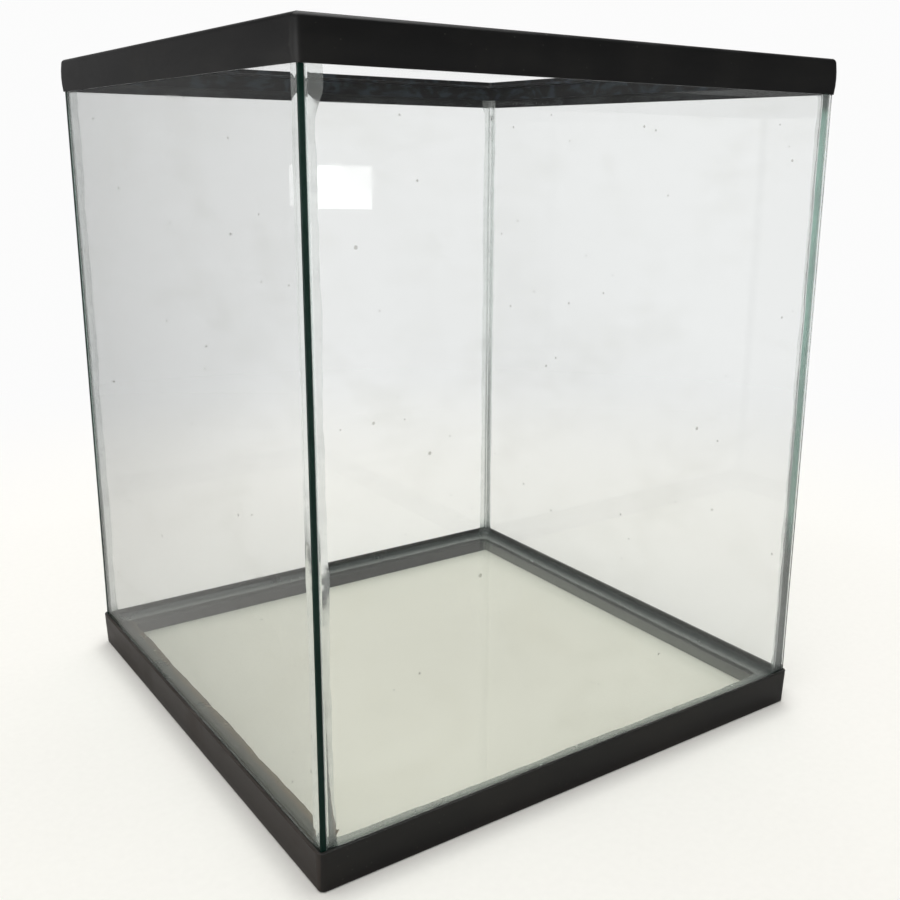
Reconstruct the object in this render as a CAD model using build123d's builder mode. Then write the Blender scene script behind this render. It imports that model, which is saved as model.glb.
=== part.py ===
from build123d import *
import os
from math import sqrt

# A cube aquarium: five panes of float glass bonded with silicone, a moulded top rim and a moulded bottom frame.
# Millimetres, +Z up. The origin is the middle of the base, on the table. The front faces -Y.

# Glass
tank_width = 300.0  # over the walls, left to right
tank_depth = 300.0  # over the walls, front to back
wall_height = 350.0  # of each wall pane
wall_thickness = 3.0
floor_thickness = 3.0
floor_rise = 5.7  # underside of the floor pane above the lower edges of the walls
arris = 0.5  # ground bevel along every edge of the glass

# Silicone
seam_bed = 0.5  # layer between two panes
seam_recess = 0.3  # how far a wiped seam lies below the outer faces
corner_leg = 5.0  # reach of the wiped bead in an upright corner
floor_leg = 5.0  # reach of the wiped bead along the floor
bead_hollow = 1.0  # how far a wiped bead is drawn in behind a flat one
rim_bed = 0.3  # layer between a moulding and the edges of the glass
top_grip = 4.0  # how far the bond runs down inside the top rim
bottom_grip = 5.0  # how far the bond runs up inside the bottom frame
bond_bead = 1.0  # bead squeezed out on the bottom frame's ledge

# Both mouldings
skirt_wall = 1.6  # thickness of the outer skirts
rim_fit = 0.2  # clearance between a skirt and the glass
corner_radius = 3.6  # upright outer corners
outline_depth = 3.2  # depth of the band that carries the shaped outer face
small_radius = 0.3  # small edges

# Top rim
top_skirt = 17.5  # height of the outer skirt, with the web
top_web = 1.4  # flat band over the edges of the glass
top_crown = 0.6  # how far the skirt's outer face swells at mid height
top_edge_radius = 2.4
lip_fit = 0.3  # clearance between the inner lip and the glass
lip_wall = 1.4
lip_depth = 12.5  # lower edge of the inner lip, below the rim's top face
cover_recess = 3.0  # seat of the cover glass below the rim's top face
cover_ledge = 7.6  # width of that seat
cover_ledge_thickness = 1.4
seat_radius = 3.0  # corners of the sunk seat
mouth_radius = 6.0  # corners of the open mouth

# Bottom frame
bottom_skirt = 20.0  # height of the outer skirt
seat_height = 7.0  # top of the ledge that carries the walls
seat_thickness = 1.5
seat_reach = 1.0  # ledge past the inner faces of the walls
bottom_draft = 0.8  # how far the skirt leans in towards its foot
bottom_edge_radius = 1.2
foot_wall = 2.4  # skirt below the ledge
foot_rib = 1.2  # inner rib that stands on the table
cross_rib = 1.2  # ribs between the skirt and the inner rib
cross_rib_pitch = 42.0
cross_rib_lift = 0.5  # lower edges of the cross ribs above the table

# Heights above the table
wall_bottom = seat_height + rim_bed
wall_top = wall_bottom + wall_height
floor_bottom = wall_bottom + floor_rise
floor_top = floor_bottom + floor_thickness
web_bottom = wall_top + rim_bed
rim_top = web_bottom + top_web
top_skirt_bottom = rim_top - top_skirt
lip_bottom = rim_top - lip_depth
cover_seat = rim_top - cover_recess
overlap = 0.5  # extra length of cutting and joining shapes

# Sizes in plan
glass_inset = skirt_wall + rim_fit  # from the mouldings' outer faces in to the glass
inner_inset = glass_inset + wall_thickness  # and on to its inner faces
half_outer = (tank_width / 2 + glass_inset, tank_depth / 2 + glass_inset)
slot_radius = rim_fit + 2 * arris  # inner upright corners of the skirts, clear of the bevelled glass


class Side:
    """One side of the tank: u runs along its wall, v runs inwards from the wall's outer face."""

    def __init__(self, name, start_corner, angle, length, reach):
        self.name = name
        self.start_corner = start_corner
        self.half = length / 2
        self.along = Vector(1, 0, 0).rotate(Axis.Z, angle)
        self.inward = Vector(0, 1, 0).rotate(Axis.Z, angle)
        self.face = self.inward * (-reach / 2)

    def section_plane(self, u):
        """Upright plane across the wall: sketch X is v, sketch Y is the height."""
        return Plane(origin=self.face + self.along * u, x_dir=self.inward, z_dir=self.along)

    def plan_plane(self, height):
        """Level plane: sketch X is u, sketch Y is v."""
        return Plane(origin=self.face + Vector(0, 0, height), x_dir=self.along, z_dir=(0, 0, 1))

    def mitres(self):
        """The two upright planes at 45 degrees where this side meets its neighbours."""
        ends = []
        for way in (-1, 1):
            corner = self.face + self.along * (way * self.half)
            ends.append(Plane(origin=corner, z_dir=self.along * -way - self.inward))
        return ends


# Each wall butts against its neighbour at its start corner and covers the next one's end, like a pinwheel
sides = [
    Side("front", "front_left", 0, tank_width, tank_depth),
    Side("right", "front_right", 90, tank_depth, tank_width),
    Side("back", "back_right", 180, tank_width, tank_depth),
    Side("left", "back_left", 270, tank_depth, tank_width),
]

pieces = {}


def subtract(*others):
    """Cut finished pieces out of the part being built, so that silicone fills only what is left."""
    for other in others:
        add(other.part, mode=Mode.SUBTRACT)


def wall_pane(side):
    """A wall of float glass with ground edges."""
    start = wall_thickness + seam_bed - side.half
    with BuildPart() as pane:
        with BuildSketch(side.section_plane(start)):
            with Locations((0, wall_bottom)):
                Rectangle(wall_thickness, wall_height, align=Align.MIN)
        extrude(amount=side.half - start)
        chamfer(pane.edges(), arris)
    return pane


def bead_section(corner_x, corner_y, leg):
    """A wiped bead in the corner of two faces: two straight legs and a hollow face."""
    middle = leg / 2 - bead_hollow / sqrt(2)
    with BuildLine() as outline:
        Polyline((corner_x, corner_y + leg), (corner_x, corner_y), (corner_x + leg, corner_y))
        ThreePointArc(
            (corner_x + leg, corner_y),
            (corner_x + middle, corner_y + middle),
            (corner_x, corner_y + leg),
        )
    make_face(outline.edges())


def corner_seal(side, walls):
    """An upright seam: a bed between a pane's end and its neighbour's face, and a bead in the corner."""
    neighbour_face = wall_thickness - side.half
    with BuildPart() as seal:
        with BuildSketch(side.plan_plane(wall_bottom)):
            with Locations((neighbour_face, seam_recess)):
                Rectangle(seam_bed + arris, wall_thickness - seam_recess, align=Align.MIN)
        extrude(amount=wall_height)
        with BuildSketch(side.plan_plane(floor_top)):
            bead_section(neighbour_face, wall_thickness, corner_leg)
        extrude(amount=lip_bottom - floor_top)
        subtract(*walls)
    return seal


def cut_mitres(side):
    """Trim a run of silicone where it meets the runs of the two neighbouring sides."""
    for plane in side.mitres():
        split(bisect_by=plane, keep=Keep.TOP)


def floor_seal(side, cutters):
    """A seam along the floor: a bed round the floor pane's edge and a bead against the wall."""
    with BuildPart() as seal:
        with BuildSketch(side.section_plane(-side.half)):
            with Locations((wall_thickness, floor_bottom)):
                Rectangle(seam_bed + arris, floor_thickness, align=Align.MIN)
            bead_section(wall_thickness, floor_top, floor_leg)
        extrude(amount=2 * side.half)
        cut_mitres(side)
        subtract(*cutters)
    return seal


def top_bond(side, cutters):
    """Silicone that fills the head of the top rim's channel round the edge of the glass."""
    with BuildPart() as bond:
        with BuildSketch(side.section_plane(-side.half - glass_inset)):
            with Locations((-rim_fit, wall_top - top_grip)):
                Rectangle(rim_fit + wall_thickness + lip_fit, top_grip + rim_bed, align=Align.MIN)
        extrude(amount=2 * (side.half + glass_inset))
        block(skirt_wall, wall_top - top_grip, web_bottom, slot_radius, Mode.INTERSECT)
        cut_mitres(side)
        subtract(*cutters)
    return bond


def bottom_bond(side, cutters):
    """Silicone under and outside the lower edge of the glass, with a bead squeezed out inside."""
    with BuildPart() as bond:
        with BuildSketch(side.section_plane(-side.half - glass_inset)):
            with Locations((-rim_fit, seat_height)):
                Rectangle(rim_fit + wall_thickness, rim_bed + bottom_grip, align=Align.MIN)
            with BuildLine():
                bead_top = wall_bottom + bond_bead
                corners = [
                    (wall_thickness, seat_height),
                    (wall_thickness + bond_bead, seat_height),
                    (wall_thickness, bead_top),
                ]
                Polyline(*corners, close=True)
            make_face()
        extrude(amount=2 * (side.half + glass_inset))
        block(skirt_wall, seat_height, wall_bottom + bottom_grip, slot_radius, Mode.INTERSECT)
        cut_mitres(side)
        subtract(*cutters)
    return bond


def outline_path():
    """The mouldings' outer outline on the table, from the middle of the front and round."""
    x, y = half_outer
    long_x, long_y = x - corner_radius, y - corner_radius
    with BuildLine() as path:
        straight = Line((0, -y), (long_x, -y))
        for length in (2 * long_y, 2 * long_x, 2 * long_y, long_x):
            bend = JernArc(straight @ 1, straight % 1, corner_radius, 90)
            straight = PolarLine(bend @ 1, length, direction=bend % 1)
    return path.wire()


def outline_plane():
    """Upright plane across the front: sketch X runs inwards from the outer face, sketch Y is the height."""
    return Plane(origin=(0, -half_outer[1], 0), x_dir=(0, 1, 0), z_dir=(1, 0, 0))


def quarter(centre, start, end):
    """A quarter circle about a centre, from start to end."""
    middle_x = centre[0] + (start[0] + end[0] - 2 * centre[0]) / sqrt(2)
    middle_y = centre[1] + (start[1] + end[1] - 2 * centre[1]) / sqrt(2)
    ThreePointArc(start, (middle_x, middle_y), end)


def inset(distance):
    """Full X and Y sizes of a rectangle that lies a distance inside the mouldings' outer faces."""
    return 2 * (half_outer[0] - distance), 2 * (half_outer[1] - distance)


def block(distance, bottom, top, radius=0.0, mode=Mode.ADD):
    """A rectangular block a distance inside the mouldings' outer faces, added, cut out or kept to."""
    with BuildSketch(Plane.XY.offset(bottom)) as outline:
        if radius > 0:
            RectangleRounded(*inset(distance), radius)
        else:
            Rectangle(*inset(distance))
    extrude(outline.sketch, amount=top - bottom, mode=mode)


def cut(distance, bottom, top, radius=0.0):
    """The same block, cut out."""
    block(distance, bottom, top, radius, Mode.SUBTRACT)


def make_top_frame():
    """The top rim: skirt, web over the glass, inner lip and a sunk seat for a cover glass."""
    lip_outer = inner_inset + lip_fit
    lip_inner = lip_outer + lip_wall
    mouth = lip_inner + cover_ledge
    hem = top_skirt_bottom + small_radius
    hem_x = top_crown + small_radius
    shoulder = rim_top - top_edge_radius
    shoulder_x = top_crown + top_edge_radius
    with BuildPart() as frame:
        with BuildSketch(outline_plane()):
            with BuildLine():
                quarter((hem_x, hem), (hem_x, top_skirt_bottom), (top_crown, hem))
                ThreePointArc((top_crown, hem), (0, (hem + shoulder) / 2), (top_crown, shoulder))
                quarter((shoulder_x, shoulder), (top_crown, shoulder), (shoulder_x, rim_top))
                Polyline(
                    (shoulder_x, rim_top),
                    (outline_depth, rim_top),
                    (outline_depth, top_skirt_bottom),
                    (hem_x, top_skirt_bottom),
                )
            make_face()
        sweep(path=outline_path())
        block(outline_depth - overlap, top_skirt_bottom, rim_top)
        cut(skirt_wall, top_skirt_bottom, lip_bottom, slot_radius)
        with BuildSketch(Plane.XY.offset(lip_bottom)):
            RectangleRounded(*inset(skirt_wall), slot_radius)
            Rectangle(*inset(lip_outer), mode=Mode.SUBTRACT)
        extrude(amount=web_bottom - lip_bottom, mode=Mode.SUBTRACT)
        cut(lip_inner, lip_bottom, cover_seat - cover_ledge_thickness)
        cut(lip_inner, cover_seat, rim_top, seat_radius)
        cut(mouth, cover_seat - cover_ledge_thickness, cover_seat, mouth_radius)
        for height in (rim_top, cover_seat):
            level = frame.faces().filter_by(Axis.Z).filter_by_position(Axis.Z, height, height)[0]
            fillet(level.inner_wires()[0].edges(), small_radius)
    return frame


def make_bottom_frame():
    """The bottom frame: skirt, ledge under the walls, inner rib on the table and cross ribs between."""
    seat_end = inner_inset + seat_reach
    rib_outer = seat_end - foot_rib
    pocket_top = seat_height - seat_thickness
    foot = bottom_edge_radius
    foot_x = bottom_draft + foot
    brim = bottom_skirt - small_radius
    with BuildPart() as frame:
        with BuildSketch(outline_plane()):
            with BuildLine():
                quarter((foot_x, foot), (foot_x, 0), (bottom_draft, foot))
                Line((bottom_draft, foot), (0, brim))
                quarter((small_radius, brim), (0, brim), (small_radius, bottom_skirt))
                Polyline(
                    (small_radius, bottom_skirt),
                    (outline_depth, bottom_skirt),
                    (outline_depth, 0),
                    (foot_x, 0),
                )
            make_face()
        sweep(path=outline_path())
        block(outline_depth - overlap, 0, seat_height)
        cut(skirt_wall, seat_height, bottom_skirt, slot_radius)
        cut(seat_end, 0, seat_height)
        with BuildSketch():
            RectangleRounded(*inset(foot_wall), slot_radius)
            Rectangle(*inset(rib_outer), mode=Mode.SUBTRACT)
        extrude(amount=pocket_top, mode=Mode.SUBTRACT)
        for side in sides:
            count = max(1, round(2 * side.half / cross_rib_pitch))
            with BuildSketch(side.plan_plane(cross_rib_lift)):
                with Locations((0, (foot_wall + rib_outer) / 2 - glass_inset)):
                    with GridLocations(2 * side.half / (count + 1), 0, count, 1):
                        Rectangle(cross_rib, rib_outer - foot_wall)
            extrude(amount=pocket_top - cross_rib_lift)
    return frame


walls = []
for side in sides:
    pane = wall_pane(side)
    walls.append(pane)
    pieces[f"{side.name}_pane"] = pane

floor_size = (tank_width - 2 * (wall_thickness + seam_bed), tank_depth - 2 * (wall_thickness + seam_bed))
with BuildPart() as bottom_pane:
    with BuildSketch(Plane.XY.offset(floor_bottom)):
        Rectangle(*floor_size)
    extrude(amount=floor_thickness)
    chamfer(bottom_pane.edges(), arris)
pieces["bottom_pane"] = bottom_pane

corner_seals = []
for side in sides:
    seal = corner_seal(side, walls)
    corner_seals.append(seal)
    pieces[f"corner_seal_{side.start_corner}"] = seal

for side in sides:
    pieces[f"floor_seal_{side.name}"] = floor_seal(side, [bottom_pane, *corner_seals])
    pieces[f"top_bond_{side.name}"] = top_bond(side, walls + corner_seals)
    pieces[f"bottom_bond_{side.name}"] = bottom_bond(side, walls + corner_seals)

pieces["top_frame"] = make_top_frame()
pieces["bottom_frame"] = make_bottom_frame()

os.makedirs("parts", exist_ok=True)
for name, piece in pieces.items():
    piece.part.label = name
    export_step(piece.part, f"parts/{name}.step")
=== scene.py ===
from math import cos, radians, sin

import bpy
import numpy as np
from mathutils import Matrix, Vector


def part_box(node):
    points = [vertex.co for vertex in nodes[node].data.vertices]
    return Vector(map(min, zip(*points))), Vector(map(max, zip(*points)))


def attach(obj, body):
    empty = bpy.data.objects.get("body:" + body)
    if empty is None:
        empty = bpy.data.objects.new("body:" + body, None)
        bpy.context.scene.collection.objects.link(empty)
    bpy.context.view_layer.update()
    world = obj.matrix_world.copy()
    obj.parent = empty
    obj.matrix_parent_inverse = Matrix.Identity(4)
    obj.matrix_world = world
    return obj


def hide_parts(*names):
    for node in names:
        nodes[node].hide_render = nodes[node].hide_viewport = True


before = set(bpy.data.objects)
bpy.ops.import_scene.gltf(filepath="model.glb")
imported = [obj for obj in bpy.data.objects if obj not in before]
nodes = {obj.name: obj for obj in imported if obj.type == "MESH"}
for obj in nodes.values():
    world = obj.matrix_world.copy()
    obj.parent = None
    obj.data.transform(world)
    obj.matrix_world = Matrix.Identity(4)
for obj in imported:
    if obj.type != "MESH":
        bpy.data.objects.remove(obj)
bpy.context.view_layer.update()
mm = 0.001
print("frame loaded:", len(nodes), "nodes")

# Sizes, read from the frame where it gives them

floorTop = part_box("bottom_pane")[1].z
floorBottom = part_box("bottom_pane")[0].z
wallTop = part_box("front_pane")[1].z
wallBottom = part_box("front_pane")[0].z
glassThickness = 3 * mm
wallHalf = 150 * mm
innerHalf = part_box("left_pane")[0].x * -1 - glassThickness
lipDepth = 12.5 * mm
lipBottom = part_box("top_frame")[1].z - lipDepth
quarterTurns = {"front": 0, "right": 1, "back": 2, "left": 3}
corners = {"front_left": 0, "front_right": 1, "back_right": 2, "back_left": 3}

# Camera

camera = {
    "place": (-0.3293, -0.5186, 0.3123),
    "yaw": 35.740,  # degrees, clockwise from +Y
    "pitch": -14.286,
    "roll": 0.693,
    "lens": 43.35,
    "sensor": 36.0,
    "shift": (-0.0433, -0.0270),
    "nearest": 0.01,
}


def makeCamera(name, settings):
    # turned by the yaw, tilted by the pitch and rolled about its own axis
    cameraData = bpy.data.cameras.new(name)
    cameraData.sensor_width = settings["sensor"]
    cameraData.lens = settings["lens"]
    cameraData.shift_x, cameraData.shift_y = settings["shift"]
    cameraData.clip_start = settings["nearest"]
    cameraObject = bpy.data.objects.new(name, cameraData)
    turn = Matrix.Rotation(radians(-settings["yaw"]), 4, "Z")
    tilt = Matrix.Rotation(radians(90 + settings["pitch"]), 4, "X")
    roll = Matrix.Rotation(radians(settings["roll"]), 4, "Z")
    cameraObject.matrix_world = Matrix.Translation(settings["place"]) @ turn @ tilt @ roll
    bpy.context.scene.collection.objects.link(cameraObject)
    bpy.context.scene.camera = cameraObject


makeCamera("camera", camera)
print("camera placed")

# Node helpers


def addNode(tree, kind, inputs=None, **settings):
    # a node with its properties set, whose inputs are linked to sockets or given plain values
    node = tree.nodes.new(kind)
    for key, value in settings.items():
        setattr(node, key, value)
    for key, value in (inputs or {}).items():
        if isinstance(value, bpy.types.NodeSocket):
            tree.links.new(value, node.inputs[key])
        else:
            node.inputs[key].default_value = value
    return node


def maths(tree, operation, first, second=0.5, clamp=False):
    node = addNode(tree, "ShaderNodeMath", {0: first, 1: second}, operation=operation, use_clamp=clamp)
    return node.outputs[0]


def ramp(tree, value, low, high, toLow=0.0, toHigh=1.0, smooth=True):
    # value carried from low..high to toLow..toHigh and held there, along an S curve or straight
    kind = "SMOOTHSTEP" if smooth else "LINEAR"
    inputs = {"Value": value, "From Min": low, "From Max": high, "To Min": toLow, "To Max": toHigh}
    return addNode(tree, "ShaderNodeMapRange", inputs, interpolation_type=kind).outputs["Result"]


def between(tree, share, low, high):
    # low where the share is 0, high where it is 1, straight between
    return ramp(tree, share, 0, 1, low, high, False)


def mixColour(tree, factor, first, second):
    node = addNode(tree, "ShaderNodeMix", data_type="RGBA", blend_type="MIX")
    for socket, value in ((node.inputs[0], factor), (node.inputs[6], first), (node.inputs[7], second)):
        if isinstance(value, bpy.types.NodeSocket):
            tree.links.new(value, socket)
        elif isinstance(value, tuple):
            socket.default_value = (*value, 1.0)
        else:
            socket.default_value = value
    return node.outputs[2]


def mixShader(tree, factor, first, second):
    return addNode(tree, "ShaderNodeMixShader", {0: factor, 1: first, 2: second}).outputs[0]


def shaded(colour, share):
    return tuple(share * part for part in colour)


def grey(tree, value):
    return addNode(tree, "ShaderNodeCombineColor", {"Red": value, "Green": value, "Blue": value}).outputs[0]


def textureCoordinate(tree, name):
    return addNode(tree, "ShaderNodeTexCoord").outputs[name]


def split(tree, vector):
    return addNode(tree, "ShaderNodeSeparateXYZ", {0: vector}).outputs


def outermost(tree, at):
    # the larger of |x| and |y|: how far out a point lies, the same all round the square tank
    return maths(tree, "MAXIMUM", maths(tree, "ABSOLUTE", at["X"]), maths(tree, "ABSOLUTE", at["Y"]))


def stretched(tree, vector, scale):
    return addNode(tree, "ShaderNodeMapping", {"Vector": vector, "Scale": scale}).outputs[0]


def noise(tree, vector, settings):
    return addNode(tree, "ShaderNodeTexNoise", {"Vector": vector, **settings}).outputs["Fac"]


def newGroup(name, inputs, outputs):
    tree = bpy.data.node_groups.new(name, "ShaderNodeTree")
    for label, kind, value in inputs:
        socket = tree.interface.new_socket(label, in_out="INPUT", socket_type="NodeSocket" + kind)
        if value is not None:
            socket.default_value = value
    for label, kind in outputs:
        tree.interface.new_socket(label, in_out="OUTPUT", socket_type="NodeSocket" + kind)
    return tree, tree.nodes.new("NodeGroupInput").outputs, tree.nodes.new("NodeGroupOutput")


def mask(tree, group, vector, settings):
    return addNode(tree, "ShaderNodeGroup", {"Vector": vector, **settings}, node_tree=group).outputs["Mask"]


def newMaterial(name):
    material = bpy.data.materials.new(name)
    material.use_nodes = True
    material.node_tree.nodes.clear()
    return material, material.node_tree


def finishMaterial(tree, surface, volume=None):
    output = addNode(tree, "ShaderNodeOutputMaterial", {"Surface": surface})
    if volume is not None:
        tree.links.new(volume, output.inputs["Volume"])


def clearForLamps(tree, body, shadow):
    # lamps and matt surfaces look straight through the body, dimmed by the shadow colour
    path = addNode(tree, "ShaderNodeLightPath").outputs
    lamps = maths(tree, "MAXIMUM", path["Is Shadow Ray"], path["Is Diffuse Ray"])
    through = addNode(tree, "ShaderNodeBsdfTransparent", {"Color": (*shadow, 1)}).outputs[0]
    return mixShader(tree, lamps, body, through)


# Shared effects


def makeSpecks():
    # cells of a Voronoi pattern, of which a random few hold a round speck: 1 in the speck, 0 round it
    inputs = [
        ("Vector", "Vector", None), ("Scale", "Float", 100.0),
        ("Share", "Float", 0.2), ("Size", "Float", 0.2),
    ]
    sizes = (0.4, 1.0)  # the smallest and largest speck, as shares of Size
    rim = (0.7, 1.1)  # shares of a speck's radius between which it fades
    tree, given, result = newGroup("specks", inputs, [("Mask", "Float")])
    cells = addNode(tree, "ShaderNodeTexVoronoi", {"Vector": given["Vector"], "Scale": given["Scale"]})
    pick = addNode(tree, "ShaderNodeSeparateColor", {"Color": cells.outputs["Color"]}).outputs
    kept = maths(tree, "LESS_THAN", pick["Red"], given["Share"])
    reach = maths(tree, "MULTIPLY", given["Size"], between(tree, pick["Green"], *sizes))
    inside = ramp(tree, maths(tree, "DIVIDE", cells.outputs["Distance"], reach), *rim, 1.0, 0.0)
    tree.links.new(maths(tree, "MULTIPLY", kept, inside), result.inputs["Mask"])
    return tree


def makeSmears():
    # two noises, one broad and warped, one finer and drawn out, averaged by weight and cut from Low to High
    inputs = [
        ("Vector", "Vector", None), ("Scale", "Float", 8.0),
        ("Low", "Float", 0.45), ("High", "Float", 0.7), ("Warp", "Float", 1.5),
    ]
    broadWeight, fineWeight, finer = 0.7, 0.3, 4.0
    tree, given, result = newGroup("smears", inputs, [("Mask", "Float")])
    broad = {"Scale": given["Scale"], "Detail": 5.0, "Distortion": given["Warp"]}
    clouds = noise(tree, given["Vector"], broad)
    drawn = stretched(tree, given["Vector"], (1.0, 1.0, 3.5))
    wipes = noise(tree, drawn, {"Scale": maths(tree, "MULTIPLY", given["Scale"], finer), "Detail": 6.0})
    parts = maths(tree, "MULTIPLY", clouds, broadWeight), maths(tree, "MULTIPLY", wipes, fineWeight)
    cut = ramp(tree, maths(tree, "ADD", *parts), given["Low"], given["High"])
    tree.links.new(cut, result.inputs["Mask"])
    return tree


specks = makeSpecks()
smears = makeSmears()
print("shared node groups made")

# Studio: a pale floor that runs out into a softly graded backdrop, and soft boxes

studio = {
    "sides": {  # degrees clockwise from +Y, cosines between which the backdrop rises, and its levels there
        "bright": {"angle": 41.0, "cosines": (0.55, 0.94), "levels": (0.13, 0.97)},
        "pale": {"angle": -82.0, "cosines": (0.52, 0.93), "levels": (0.0, 0.80)},
        "corner": {"angle": -126.0, "cosines": (0.88, 0.98), "levels": (0.0, 1.7)},
    },
    "climb": (0.13, 0.36),  # upward share of a direction between which the backdrop darkens
    "overhead": 0.30,  # share of its level left above that
    "seen": 0.97,  # level of the backdrop where it isn't mirrored
}

studioFloor = {
    "size": 9.0,
    "colour": (0.935, 0.92, 0.88),
    "grain": {"Scale": 260.0, "Detail": 4.0},
    "tones": (0.975, 1.02),  # shares of the colour in the grain
    "roughness": 0.6,
    "fade": (0.30, 0.95),  # distances between which the floor turns into the backdrop
    "under": 0.152,  # half the tank's width
    "mirrored": (0.62, 0.38),  # shares of the colour kept in mirrors, a painted shade, under the tank and round it
}

softBoxes = {
    "overhead": {"place": (-0.1, 0.0, 2.2), "aim": (-0.1, 0.0, 0.0), "size": (2.4, 2.4), "glow": 2.6},
    "back": {
        "place": (1.0, 1.0, 1.7), "aim": (0.0, 0.0, 0.0), "size": (1.8, 1.3), "glow": 2.5, "mirrored": False,
    },
    "key": {
        "place": (-1.15, -0.85, 0.55), "aim": (-0.15, -0.15, 0.25), "size": (1.8, 0.8), "glow": 1.5,
        "mirrored": False,
    },
    "window": {  # its mirror image lies on the front pane
        "place": (4.573, -8.928, -0.045), "aim": (-0.1317, -0.15, 0.2981), "size": (0.50, 0.39), "glow": 2.6,
    },
}


def makeStudioShade(settings):
    # level = the highest of three S curves, each over the cosine of the angle to one side, darkened upwards
    tree, given, result = newGroup("studioShade", [("Direction", "Vector", None)], [("Value", "Float")])
    unit = addNode(tree, "ShaderNodeVectorMath", {0: given["Direction"]}, operation="NORMALIZE").outputs[0]
    level = 0.0
    for side in settings["sides"].values():
        angle = radians(side["angle"])
        towards = {0: unit, 1: (sin(angle), cos(angle), 0.0)}
        facing = addNode(tree, "ShaderNodeVectorMath", towards, operation="DOT_PRODUCT").outputs["Value"]
        level = maths(tree, "MAXIMUM", level, ramp(tree, facing, *side["cosines"], *side["levels"]))
    darker = ramp(tree, split(tree, unit)["Z"], *settings["climb"], 1.0, settings["overhead"])
    tree.links.new(maths(tree, "MULTIPLY", level, darker), result.inputs["Value"])
    return tree


def backdropLevel(tree, direction):
    # pale all round where it is seen straight on or through the panes, and graded where a surface mirrors it
    shade = addNode(tree, "ShaderNodeGroup", {"Direction": direction}, node_tree=studioShade)
    path = addNode(tree, "ShaderNodeLightPath").outputs
    unmirrored = maths(tree, "LESS_THAN", path["Glossy Depth"], 0.5)
    through = maths(tree, "MULTIPLY", path["Is Transmission Ray"], unmirrored)
    direct = maths(tree, "MAXIMUM", path["Is Camera Ray"], through)
    return between(tree, direct, shade.outputs["Value"], studio["seen"])


def makeWorld():
    world = bpy.data.worlds.new("studio")
    world.use_nodes = True
    tree = world.node_tree
    tree.nodes.clear()
    level = backdropLevel(tree, textureCoordinate(tree, "Generated"))
    background = addNode(tree, "ShaderNodeBackground", {"Color": grey(tree, level), "Strength": 1.0})
    addNode(tree, "ShaderNodeOutputWorld", {"Surface": background.outputs[0]})
    bpy.context.scene.world = world


def makeFloor(settings):
    # matt and warm near the tank, dimmed in mirrors as painted shade, and the backdrop's level far out
    half = settings["size"] / 2
    ring = [(-half, -half, 0), (half, -half, 0), (half, half, 0), (-half, half, 0)]
    mesh = bpy.data.meshes.new("floor")
    mesh.from_pydata(ring, [], [(0, 1, 2, 3)])
    floor = bpy.data.objects.new("floor", mesh)
    bpy.context.scene.collection.objects.link(floor)
    material, tree = newMaterial("floor")
    place = textureCoordinate(tree, "Object")
    path = addNode(tree, "ShaderNodeLightPath").outputs
    warm = settings["colour"]
    grain = noise(tree, place, settings["grain"])
    colour = mixColour(tree, grain, *(shaded(warm, tone) for tone in settings["tones"]))
    beside = maths(tree, "GREATER_THAN", outermost(tree, split(tree, place)), settings["under"])
    # painted shade: only in mirrors is the floor's colour dimmed, more round the tank than under it
    dim = mixColour(tree, beside, *(shaded(warm, share) for share in settings["mirrored"]))
    colour = mixColour(tree, maths(tree, "GREATER_THAN", path["Glossy Depth"], 0.5), colour, dim)
    near = addNode(tree, "ShaderNodeBsdfDiffuse", {"Color": colour, "Roughness": settings["roughness"]})
    level = backdropLevel(tree, place)
    far = addNode(tree, "ShaderNodeEmission", {"Color": grey(tree, level), "Strength": 1.0})
    seen = maths(tree, "MAXIMUM", path["Is Camera Ray"], path["Is Glossy Ray"])
    seen = maths(tree, "MAXIMUM", seen, path["Is Transmission Ray"])
    reach = addNode(tree, "ShaderNodeVectorMath", {0: place}, operation="LENGTH").outputs["Value"]
    fade = maths(tree, "MULTIPLY", seen, ramp(tree, reach, *settings["fade"]))
    finishMaterial(tree, mixShader(tree, fade, near.outputs[0], far.outputs[0]))
    mesh.materials.append(material)


def makeSoftBox(name, settings):
    # energy = glow times area times pi, so that the glow is what the box looks like in a mirror
    light = bpy.data.lights.new(name, "AREA")
    light.shape = "RECTANGLE"
    light.size, light.size_y = settings["size"]
    light.energy = settings["glow"] * light.size * light.size_y * np.pi
    box = bpy.data.objects.new(name, light)
    box.visible_camera = False
    box.visible_glossy = box.visible_transmission = settings.get("mirrored", True)
    place = Vector(settings["place"])
    turn = (Vector(settings["aim"]) - place).to_track_quat("-Z", "Y").to_matrix().to_4x4()
    box.matrix_world = Matrix.Translation(place) @ turn
    bpy.context.scene.collection.objects.link(box)


studioShade = makeStudioShade(studio)
makeWorld()
makeFloor(studioFloor)
for boxName, boxSettings in softBoxes.items():
    makeSoftBox(boxName, boxSettings)
print("studio lit")

# Moulded black plastic of both rims

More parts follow.
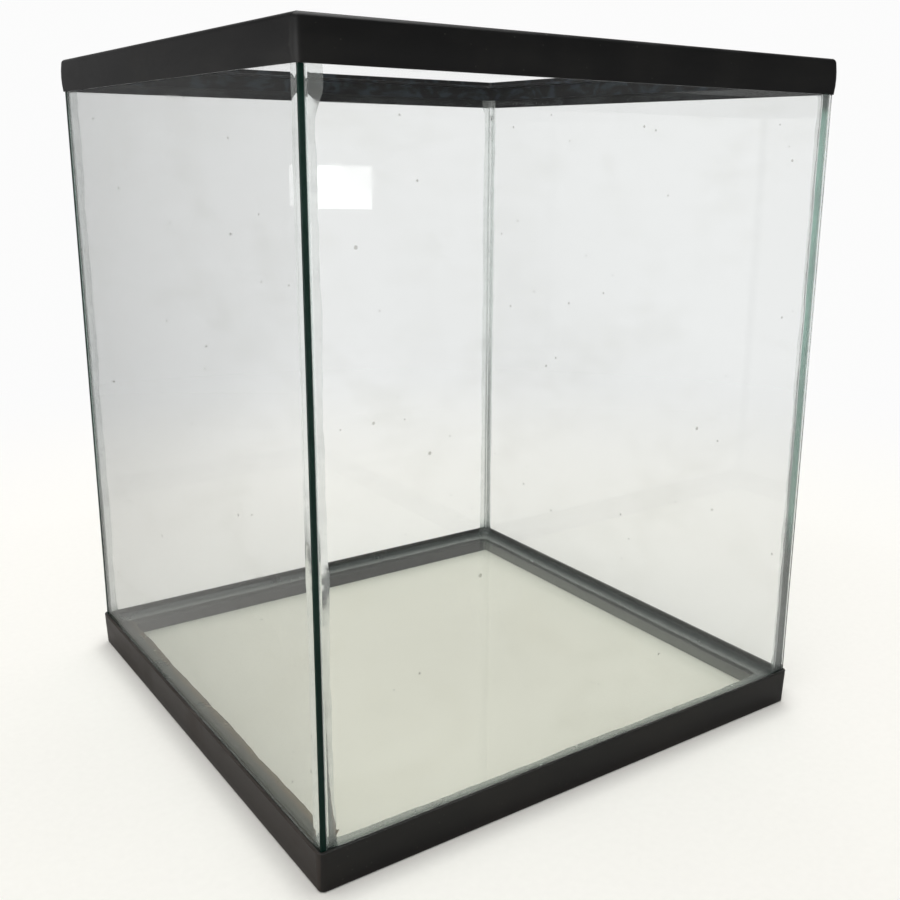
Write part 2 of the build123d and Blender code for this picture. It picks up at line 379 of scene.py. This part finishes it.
rimPlastic = {
    "colour": (0.0090, 0.0090, 0.0093),
    "faded": (0.0145, 0.0141, 0.0136),
    "clouds": {"Scale": 9.0, "Low": 0.40, "High": 0.66},
    "roughness": (0.30, 0.44),  # outside the clouds and in them
    "specular": 0.40,
    "refraction": 1.47,
    "grain": {"Scale": 1500.0, "Detail": 2.0},
    "grainDepth": 0.02 * mm,
    "grainStrength": 0.7,
    "hairStretch": (22.0, 22.0, 1500.0),  # the scratches run level
    "hairs": {"Scale": 1.0, "Detail": 2.0},
    "hairCut": (0.68, 0.76),  # noise between which a scratch deepens
    "hairPatches": {"Scale": 30.0, "Low": 0.5, "High": 0.68},
    "hairColour": (0.02, 0.02, 0.02),
    "hairCover": 0.2,
    "hairDepth": 0.4,  # share of the grain's depth
    "dust": (0.10, 0.095, 0.085),
    "dustSlope": (0.35, 0.95),  # upward share of the normal between which dust settles
    "dustClouds": (0.05, 0.3),  # outside the clouds and in them
    "dustCover": 0.35,
    "dustRoughness": 0.4,
    "motes": {"Scale": 420.0, "Share": 0.10, "Size": 0.28},
    "moteCover": 0.25,
    "smear": (0.034, 0.044, 0.054),  # silicone wiped over the inner faces of the top rim
    "smears": {"Scale": 30.0, "Low": 0.47, "High": 0.62, "Warp": 3.0},
    "smearInside": 147.6 * mm,
    "smearAbove": 340.5 * mm,
}

framePlastic = dict(
    rimPlastic,
    colour=(0.0100, 0.0090, 0.0082),
    faded=(0.0170, 0.0146, 0.0126),
    specular=0.50,
    paintedRibLight=(0.17, 0.18, 0.165),  # painted light on the right inner rib, stronger lower down, seen through the floor pane
    paintedRibSpan=(144.0 * mm, 147.6 * mm),
    paintedRibHeights=(1 * mm, 13 * mm),
    paintedRibCover=(1.0, 0.3),  # at those heights
    paintedLeftLight=(0.036, 0.028, 0.0235),  # painted light: a lighter brown tone on the left outer face
    paintedLeftBeyond=150.5 * mm,
    paintedLeftCover=(0.7, 1.0),  # outside the clouds and in them
)


def paintLight(tree, colour, settings, at, outwards, clouds):
    # colour with painted light: a pale tone on the right inner rib, stronger lower down, and a lighter brown
    # tone on the left outer face
    # painted light: the right inner rib is paler near the table, as if lit from below
    start, end = settings["paintedRibSpan"]
    onRib = maths(tree, "GREATER_THAN", at["X"], start)
    onRib = maths(tree, "MULTIPLY", onRib, maths(tree, "LESS_THAN", outwards, end))
    fading = ramp(tree, at["Z"], *settings["paintedRibHeights"], *settings["paintedRibCover"])
    colour = mixColour(tree, maths(tree, "MULTIPLY", onRib, fading), colour, settings["paintedRibLight"])
    # painted light: the left outer face made lighter and browner, mottled by the clouds
    onLeft = maths(tree, "LESS_THAN", at["X"], -settings["paintedLeftBeyond"])
    cover = maths(tree, "MULTIPLY", onLeft, between(tree, clouds, *settings["paintedLeftCover"]))
    return mixColour(tree, cover, colour, settings["paintedLeftLight"])


def makeRimPlastic(name, settings):
    # colour = black, faded in clouds, under hairline scratches, wiped silicone, painted light on the frame's
    # rib and left face, and dust on upward faces; height = fine moulding grain less the scratches
    material, tree = newMaterial(name)
    place = textureCoordinate(tree, "Object")
    at = split(tree, place)
    outwards = outermost(tree, at)
    clouds = mask(tree, smears, place, settings["clouds"])
    grain = noise(tree, place, settings["grain"])
    hairs = noise(tree, stretched(tree, place, settings["hairStretch"]), settings["hairs"])
    patches = mask(tree, smears, place, settings["hairPatches"])
    scratch = maths(tree, "MULTIPLY", ramp(tree, hairs, *settings["hairCut"]), patches)
    inside = maths(tree, "LESS_THAN", outwards, settings["smearInside"])
    inside = maths(tree, "MULTIPLY", inside, maths(tree, "GREATER_THAN", at["Z"], settings["smearAbove"]))
    wiped = maths(tree, "MULTIPLY", mask(tree, smears, place, settings["smears"]), inside)
    colour = mixColour(tree, clouds, settings["colour"], settings["faded"])
    scratched = maths(tree, "MULTIPLY", scratch, settings["hairCover"])
    colour = mixColour(tree, scratched, colour, settings["hairColour"])
    colour = mixColour(tree, wiped, colour, settings["smear"])
    if "paintedRibLight" in settings:
        colour = paintLight(tree, colour, settings, at, outwards, clouds)
    up = split(tree, textureCoordinate(tree, "Normal"))["Z"]
    dustAndShade = ramp(tree, up, *settings["dustSlope"])
    dustAndShade = maths(tree, "MULTIPLY", dustAndShade, between(tree, clouds, *settings["dustClouds"]))
    dustAndShade = maths(tree, "MULTIPLY", dustAndShade, settings["dustCover"])
    motes = maths(tree, "MULTIPLY", mask(tree, specks, place, settings["motes"]), settings["moteCover"])
    dusty = maths(tree, "ADD", dustAndShade, motes, clamp=True)
    colour = mixColour(tree, dusty, colour, settings["dust"])
    duller = maths(tree, "MULTIPLY", dusty, settings["dustRoughness"])
    rough = maths(tree, "ADD", between(tree, clouds, *settings["roughness"]), duller, clamp=True)
    height = maths(tree, "SUBTRACT", grain, maths(tree, "MULTIPLY", scratch, settings["hairDepth"]))
    bump = addNode(tree, "ShaderNodeBump", {
        "Strength": settings["grainStrength"], "Distance": settings["grainDepth"], "Height": height,
    }).outputs[0]
    plastic = addNode(tree, "ShaderNodeBsdfPrincipled", {
        "Base Color": colour, "Roughness": rough, "Normal": bump, "IOR": settings["refraction"],
        "Specular IOR Level": settings["specular"],
    }).outputs[0]
    finishMaterial(tree, plastic)
    return material


# Float glass: clear faces with a faint film, green ground edges

glass = {
    "clear": (0.994, 0.997, 0.995),
    "refraction": 1.52,
    "film": (0.955, 0.958, 0.948),
    "films": {"Scale": 7.0, "Low": 0.47, "High": 0.72, "Warp": 2.0},
    "filmRoughness": 0.06,
    "dirt": (0.25, 0.24, 0.20),
    "fineDirt": {"Scale": 150.0, "Share": 0.020, "Size": 0.16},
    "coarseDirt": {"Scale": 38.0, "Share": 0.035, "Size": 0.045},
    "dirtCover": 0.75,
    "tint": (0.70, 0.94, 0.87),  # absorption colour
    "density": 6.5,
    "edge": (0.0023, 0.0150, 0.0105),
    "edgeTones": (0.5, 1.7),  # shares of the edge colour in its streaks
    "edgeStreaks": (900, 900, 25),
    "edgeSlope": (0.85, 0.95),  # share of the normal along the pane's own axis, from an edge to a face
    "edgeCover": 0.97,
    "edgeWithin": 0.06,  # share of that where the end is seen from within the glass
    "edgeRoughness": 0.35,
    "edgeSpecular": 0.1,
    "naked": 149.4 * mm,  # pane ends farther out than this stand free of silicone
    "smear": (0.20, 0.22, 0.24),
    "smears": {"Scale": 26.0, "Low": 0.42, "High": 0.62, "Warp": 3.0},
    "smearHeights": (340.0 * mm, 343.0 * mm),  # between these the smears of the rim's silicone begin
    "smearCover": 0.10,
    "smearRoughness": 0.4,
    "shadow": (0.975, 0.980, 0.976),
}

# with a thin cream film of lime
floorGlass = dict(glass, clear=(0.993, 0.978, 0.895), film=(0.960, 0.942, 0.850))


def clearFace(tree, place, settings):
    # base colour = clear, darkened by the film and by specks of dirt; roughness follows the film
    film = mask(tree, smears, place, settings["films"])
    fine = mask(tree, specks, place, settings["fineDirt"])
    coarse = mask(tree, specks, place, settings["coarseDirt"])
    colour = mixColour(tree, film, settings["clear"], settings["film"])
    dirt = maths(tree, "MULTIPLY", maths(tree, "MAXIMUM", fine, coarse), settings["dirtCover"])
    return addNode(tree, "ShaderNodeBsdfPrincipled", {
        "Base Color": mixColour(tree, dirt, colour, settings["dirt"]),
        "Roughness": between(tree, film, 0.0, settings["filmRoughness"]),
        "IOR": settings["refraction"], "Transmission Weight": 1.0,
    }).outputs[0]


def groundEdge(tree, place, settings):
    # dull dark green, in streaks along the edge
    streaks = noise(tree, stretched(tree, place, settings["edgeStreaks"]), {"Scale": 1.0})
    deep, light = (shaded(settings["edge"], tone) for tone in settings["edgeTones"])
    return addNode(tree, "ShaderNodeBsdfPrincipled", {
        "Base Color": mixColour(tree, streaks, deep, light),
        "Roughness": settings["edgeRoughness"], "Specular IOR Level": settings["edgeSpecular"],
    }).outputs[0]


def makeGlass(name, settings, across, along):
    # clear faces, a ground edge where the normal leaves the pane's own axis at a naked end, silicone
    # smeared on inside the top rim, and green from absorption within
    material, tree = newMaterial(name)
    place = textureCoordinate(tree, "Object")
    at = split(tree, place)
    slope = maths(tree, "ABSOLUTE", split(tree, textureCoordinate(tree, "Normal"))[across])
    edge = ramp(tree, slope, *settings["edgeSlope"], settings["edgeCover"], 0.0)
    within = addNode(tree, "ShaderNodeNewGeometry").outputs["Backfacing"]
    edge = maths(tree, "MULTIPLY", edge, between(tree, within, 1.0, settings["edgeWithin"]))
    naked = maths(tree, "GREATER_THAN", maths(tree, "ABSOLUTE", at[along]), settings["naked"])
    edge = maths(tree, "MULTIPLY", edge, naked)
    under = ramp(tree, at["Z"], *settings["smearHeights"], 0.0, settings["smearCover"])
    smear = maths(tree, "MULTIPLY", mask(tree, smears, place, settings["smears"]), under)
    cured = addNode(tree, "ShaderNodeBsdfPrincipled", {
        "Base Color": (*settings["smear"], 1), "Roughness": settings["smearRoughness"],
    }).outputs[0]
    body = mixShader(tree, smear, clearFace(tree, place, settings), cured)
    body = mixShader(tree, edge, body, groundEdge(tree, place, settings))
    volume = addNode(tree, "ShaderNodeVolumeAbsorption", {
        "Color": (*settings["tint"], 1), "Density": settings["density"],
    }).outputs[0]
    finishMaterial(tree, clearForLamps(tree, body, settings["shadow"]), volume)
    return material


# Silicone: clear uprights with a milky cast, and dull grey seams along the floor, both darkened with painted
# shade

siliconeUpright = {
    "clear": (0.93, 0.94, 0.935),
    "milky": (0.84, 0.85, 0.85),
    "clouds": {"Scale": 45.0, "Low": 0.42, "High": 0.66},
    "roughness": (0.08, 0.22),  # outside the clouds and in them
    "refraction": 1.41,
    "specular": 0.45,
    "transmission": 0.90,
    "bubble": (0.60, 0.62, 0.61),
    "bubbles": {"Scale": 420.0, "Share": 0.14, "Size": 0.30},
    "bubbleCover": 0.5,
    "paintedShade": (0.24, 0.30, 0.28),  # painted shade, deepest low on the uprights and towards the walls on the floor
    "paintedShadeClouds": (0.85, 1.0),  # outside the clouds and in them
    "paintedShadeHeights": (floorTop, 30 * mm),
    "paintedShadeCover": 0.9,
    "smoothHeights": (325 * mm, 333 * mm),  # the thin wipes above these are smooth
    "smooth": 0.08,  # share of the roughness that they have
    "ripples": {"Scale": 150.0, "Detail": 2.0},
    "rippleDepth": 0.12 * mm,
    "rippleStrength": 0.4,
    "shadow": (0.95, 0.96, 0.955),
}

siliconeGap = dict(siliconeUpright, clear=(0.30, 0.32, 0.31), milky=(0.20, 0.22, 0.21), transmission=0.97)

siliconeFloor = dict(
    siliconeUpright,
    # its grey dims what is seen through the seam: painted shade
    clear=(0.50, 0.52, 0.50),
    milky=(0.42, 0.44, 0.42),
    roughness=(0.14, 0.28),
    specular=0.22,
    transmission=0.80,
    bubble=(0.14, 0.16, 0.15),
    paintedShade=(0.060, 0.084, 0.075),
    paintedShadeSpan=(139.6 * mm, 146.2 * mm),  # distances from the middle of the floor between which the painted shade deepens
    shadow=(0.85, 0.87, 0.86),
)

siliconeThin = dict(
    siliconeFloor,
    # its dark brown dims the floor seen through it: painted shade
    clear=(0.25, 0.205, 0.15),
    milky=(0.21, 0.175, 0.13),
    paintedShade=(0.11, 0.125, 0.11),
    paintedShadeSpan=(137.5 * mm, 140.0 * mm),
)


def makeSilicone(name, settings):
    # base colour = clear with milky clouds and small bubbles, darkened with painted shade low on the uprights
    # and outwards on the floor; height = ripples of the wiping
    material, tree = newMaterial(name)
    place = textureCoordinate(tree, "Object")
    at = split(tree, place)
    clouds = mask(tree, smears, place, settings["clouds"])
    bubbles = maths(tree, "MULTIPLY", mask(tree, specks, place, settings["bubbles"]), settings["bubbleCover"])
    colour = mixColour(tree, clouds, settings["clear"], settings["milky"])
    colour = mixColour(tree, bubbles, colour, settings["bubble"])
    rough = between(tree, clouds, *settings["roughness"])
    # painted shade: darker towards the floor on the uprights, and towards the walls on the floor seams
    if "paintedShadeSpan" in settings:
        dustAndShade = ramp(tree, outermost(tree, at), *settings["paintedShadeSpan"])
    else:
        dustAndShade = ramp(tree, at["Z"], *settings["paintedShadeHeights"], settings["paintedShadeCover"], 0.0)
        smooth = ramp(tree, at["Z"], *settings["smoothHeights"], 1.0, settings["smooth"])
        rough = maths(tree, "MULTIPLY", rough, smooth)
    dustAndShade = maths(tree, "MULTIPLY", dustAndShade, between(tree, clouds, *settings["paintedShadeClouds"]))
    bump = addNode(tree, "ShaderNodeBump", {
        "Strength": settings["rippleStrength"], "Distance": settings["rippleDepth"],
        "Height": noise(tree, place, settings["ripples"]),
    }).outputs[0]
    body = addNode(tree, "ShaderNodeBsdfPrincipled", {
        "Base Color": mixColour(tree, dustAndShade, colour, settings["paintedShade"]), "Roughness": rough,
        "Normal": bump, "IOR": settings["refraction"], "Transmission Weight": settings["transmission"],
        "Specular IOR Level": settings["specular"],
    }).outputs[0]
    finishMaterial(tree, clearForLamps(tree, body, settings["shadow"]))
    return material


def dress(nodeName, material):
    for slot in nodes[nodeName].material_slots:
        slot.material = material


uprightMaterial = makeSilicone("siliconeUpright", siliconeUpright)
floorMaterial = makeSilicone("siliconeFloor", siliconeFloor)
thinMaterial = makeSilicone("siliconeThin", siliconeThin)
gapMaterial = makeSilicone("siliconeGap", siliconeGap)
facingY = makeGlass("floatGlassY", glass, "Y", "X")
facingX = makeGlass("floatGlassX", glass, "X", "Y")
dress("top_frame", makeRimPlastic("rimPlastic", rimPlastic))
dress("bottom_frame", makeRimPlastic("framePlastic", framePlastic))
dress("bottom_pane", makeGlass("floorGlass", floorGlass, "Z", "X"))
for sideName, quarters in quarterTurns.items():
    dress(sideName + "_pane", facingX if quarters % 2 else facingY)
    dress("top_bond_" + sideName, uprightMaterial)
print("frame nodes dressed")

# Silicone seams as wiped by hand

seam = {
    "bed": 0.5 * mm,  # layer between two panes
    "arris": 0.5 * mm,  # bevel of a pane's edge
    "recess": 0.3 * mm,  # how far the bed stays back from the outer face
    "recessWander": (0.12 * mm, 50 * mm),  # size and longest wave, as for every wander
    "meniscus": 0.14 * mm,
    "wet": 0.03 * mm,  # how far the silicone's skin reaches into the glass it wets
    "faceSteps": 14,
    "rowPitch": 1.5 * mm,
    "step": 0.02 * mm,  # from one row to the next where the outline jumps
    "sharpFrom": 40,  # degrees
}


def wander(along, seed, size, longest, waves=5):
    # sum of sines whose lengths halve and whose heights fall by 0.7, with seeded phases
    draw = np.random.default_rng(seed)
    total = np.zeros_like(along)
    for wave in range(waves):
        total += 0.7**wave * np.sin(2 * np.pi * (along / longest * 2**wave + draw.random()))
    return size * total / 2


def sealSection(legA, legB, depth, recess, power):
    # rows of closed outlines (a, b): a face from (0, legA) to (legB, 0), drawn in by the power, back along
    # b = 0 to the bevel of the butted pane, out along the bed to its meniscus, and home along a = 0
    rows = len(legA)
    s = np.linspace(0, 1, seam["faceSteps"])
    faceA = legB[:, None] * s ** power[:, None]
    faceB = legA[:, None] * (1 - s) ** power[:, None]
    wet, bed, arris, meniscus = seam["wet"], seam["bed"], seam["arris"], seam["meniscus"]
    faceA[:, 0] = -wet
    faceB[:, -1] = -wet
    outer = -depth + recess
    tail = [
        (np.minimum(bed + arris, legB * 0.999), -wet),
        (bed + wet, -arris),
        (bed + wet, outer * 0.6),
        (bed + wet, outer),
        (bed * 0.75, outer + meniscus),
        (bed * 0.25, outer + meniscus),
        (-wet, outer),
        (-wet, outer * 0.6),
        (-wet, -wet),
    ]
    a = np.hstack([faceA] + [np.broadcast_to(point[0], rows)[:, None] for point in tail])
    b = np.hstack([faceB] + [np.broadcast_to(point[1], rows)[:, None] for point in tail])
    return a, b


def meshFromRows(name, points, flip=False):
    # points[row, column]: columns close into a ring, rows run along the piece, and both ends get a cap
    rows, columns = points.shape[:2]
    index = np.arange(rows * columns).reshape(rows, columns)
    following = np.roll(index, -1, axis=1)
    quads = np.stack([index[:-1], following[:-1], following[1:], index[1:]], axis=-1).reshape(-1, 4)
    if flip:
        quads = quads[:, ::-1]
    caps = [index[0, ::-1], index[-1]] if not flip else [index[0], index[-1, ::-1]]
    mesh = bpy.data.meshes.new(name)
    mesh.from_pydata(points.reshape(-1, 3).tolist(), [], quads.tolist() + [cap.tolist() for cap in caps])
    mesh.update()
    return mesh


def addPiece(name, mesh, material, replaced):
    piece = bpy.data.objects.new(name, mesh)
    bpy.context.scene.collection.objects.link(piece)
    mesh.materials.append(material)
    mesh.polygons.foreach_set("use_smooth", np.ones(len(mesh.polygons), bool))
    mesh.set_sharp_from_angle(angle=radians(seam["sharpFrom"]))
    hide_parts(replaced)
    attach(piece, "root")


def turned(x, y, quarters):
    for _ in range(quarters):
        x, y = -y, x
    return x, y


cornerBead = {
    "leg": 4.9 * mm,
    "legShares": {  # of the leg on the one pane and on the other
        "front_left": (0.98, 1.0), "front_right": (1.0, 1.05),
        "back_right": (1.15, 1.12), "back_left": (1.05, 1.0),
    },
    "wander": (0.55 * mm, 110 * mm),  # size and longest wave
    "footFlare": 2.6 * mm,  # the bead widens where it runs into the floor seam
    "footReach": 3.2 * mm,
    "hollow": 1.48,  # power of the drawn-in face
    "head": {  # a thin wipe under the rim: its width, how far below the bead's top it lies, half its height
        "front_left": (3.3 * mm, 8.0 * mm, 12.0 * mm), "front_right": (1.2 * mm, 0.0, 7.0 * mm),
        "back_right": (2.0 * mm, 2.0 * mm, 6.0 * mm), "back_left": (1.0 * mm, 0.0, 7.0 * mm),
    },
    "headHollow": 1.3,  # added to the power in a wide wipe
    "wideHead": 2.5 * mm,
    "film": 0.05 * mm,  # leg on the butting pane where the seam is only a bed
    "seed": 40,
}


def cornerSeam(name, settings, top):
    # outline (a, b) at each height z, with legs that wander, flare at the floor and smear below the top rim
    quarters = corners[name]
    steps = int((wallTop - wallBottom) / seam["rowPitch"])
    step, seed = seam["step"], settings["seed"] + 7 * quarters
    jumps = [floorTop - step, floorTop + step, top - step, top + step]
    z = np.sort(np.concatenate([np.linspace(wallBottom, wallTop, steps), jumps]))
    flare = settings["footFlare"] * np.exp(-np.maximum(z - floorTop, 0) / settings["footReach"])
    headWidth, headDrop, headReach = settings["head"][name]
    head = np.exp(-((top - headDrop - z) / headReach) ** 4)
    inBead = (z > floorTop) & (z < top)
    longA, longB = (settings["leg"] * share for share in settings["legShares"][name])
    legA = longA + wander(z, seed, *settings["wander"]) + flare
    legB = longB + wander(z, seed + 1, *settings["wander"]) + flare + headWidth * head
    legA = np.where(inBead, legA, settings["film"])
    legB = np.where(inBead, legB, seam["bed"] + seam["arris"] + step)
    recess = seam["recess"] + np.abs(wander(z, seed + 2, *seam["recessWander"]))
    power = settings["hollow"] + settings["headHollow"] * head * (headWidth > settings["wideHead"])
    a, b = sealSection(legA, legB, glassThickness, recess, power)
    x, y = turned(a - innerHalf, b - innerHalf, quarters)
    points = np.stack([x, y, np.broadcast_to(z[:, None], x.shape)], axis=-1)
    mesh = meshFromRows("cornerSeam_" + name, points, flip=True)
    addPiece("cornerSeam_" + name, mesh, uprightMaterial, "corner_seal_" + name)


floorBead = {
    "legs": {  # up the wall and along the floor
        "front": (2.5 * mm, 8.2 * mm), "right": (2.2 * mm, 7.8 * mm),
        "back": (2.3 * mm, 8.2 * mm), "left": (2.6 * mm, 11.4 * mm),
    },
    "hollow": 1.9,
    "wander": (0.18 * mm, 0.55 * mm),  # up the wall and along the floor
    "longest": 130 * mm,  # wave of both
    "cornerFlare": 2.2 * mm,
    "cornerReach": 3.5 * mm,
    "lap": 0.25 * mm,  # past the mitre, into the neighbouring seam
    "seed": 110,
}


def floorSeam(name, settings):
    # outline (v, w) at each place u along the wall; u shrinks with v so that both ends lie on the mitres
    quarters = quarterTurns[name]
    t = np.linspace(-1, 1, int(2 * innerHalf / seam["rowPitch"]))
    u = t * innerHalf
    seed = settings["seed"] + 7 * quarters
    flare = settings["cornerFlare"] * np.exp(-(innerHalf - np.abs(u)) / settings["cornerReach"])
    upWall, alongFloor = settings["legs"][name]
    wallWander, floorWander = settings["wander"]
    legA = upWall + wander(u, seed, wallWander, settings["longest"]) + flare
    legB = alongFloor + wander(u, seed + 1, floorWander, settings["longest"]) + flare
    power = np.full(len(u), settings["hollow"])
    a, b = sealSection(legA, legB, floorTop - floorBottom, np.zeros(len(u)), power)
    along = t[:, None] * (innerHalf - a + settings["lap"])
    x, y = turned(along, a - innerHalf, quarters)
    mesh = meshFromRows("floorSeam_" + name, np.stack([x, y, floorTop + b], axis=-1), flip=True)
    material = thinMaterial if name == "left" else floorMaterial
    addPiece("floorSeam_" + name, mesh, material, "floor_seal_" + name)


frameBond = {
    "gap": 0.2 * mm,  # between the skirt and the glass
    "seat": 7.0 * mm,  # height of the ledge under the glass
    "top": 19.4 * mm,
    "topWander": (0.35 * mm, 90 * mm),
    "crown": 0.1 * mm,  # how far the top bulges in the middle of the gap
    "bead": 1.0 * mm,
    "beadWander": (0.3 * mm, 50 * mm),
    "rows": 180,
    "seeds": (170, 180),
}


def frameSeam(name, settings):
    # outline (v, z) round the lower edge of the glass: under it, up the gap to the skirt, and a bead inside
    quarters = quarterTurns[name]
    u = np.linspace(-1, 1, settings["rows"])
    wet, arris, bead = seam["wet"], seam["arris"], settings["bead"]
    out = -settings["gap"] - 0.5 * wet
    low = settings["seat"] - 0.5 * wet
    topSeed, beadSeed = (seed + quarters for seed in settings["seeds"])
    top = settings["top"] + wander(u * wallHalf, topSeed, *settings["topWander"])
    inner = wallBottom + bead + wander(u * wallHalf, beadSeed, *settings["beadWander"])
    outline = [
        (out, low), (glassThickness + bead, low), (glassThickness - wet, inner),
        (glassThickness - wet, wallBottom + arris + wet), (glassThickness - arris - wet, wallBottom + wet),
        (arris + wet, wallBottom + wet), (wet, wallBottom + arris + wet),
        (wet, top), (0.5 * out, top + settings["crown"]), (out, top),
    ]
    v = np.array([point[0] for point in outline])[None, :] + 0 * u[:, None]
    z = np.stack([np.broadcast_to(point[1], u.shape) for point in outline], axis=1)
    x, y = turned(u[:, None] * (wallHalf - v), v - wallHalf, quarters)
    mesh = meshFromRows("frameSeam_" + name, np.stack([x, y, z], axis=-1))
    addPiece("frameSeam_" + name, mesh, gapMaterial, "bottom_bond_" + name)


for cornerName in corners:
    cornerSeam(cornerName, cornerBead, lipBottom)
print("upright seams wiped")
for sideName in quarterTurns:
    floorSeam(sideName, floorBead)
print("floor seams wiped")
for sideName in quarterTurns:
    frameSeam(sideName, frameBond)
print("bottom frame bonded")

render = {"bounces": 96, "transparent": 24}  # light zigzags many times inside a pane

scene = bpy.context.scene
scene.view_settings.view_transform = "Standard"
scene.cycles.max_bounces = scene.cycles.glossy_bounces = scene.cycles.transmission_bounces = render["bounces"]
scene.cycles.transparent_max_bounces = render["transparent"]
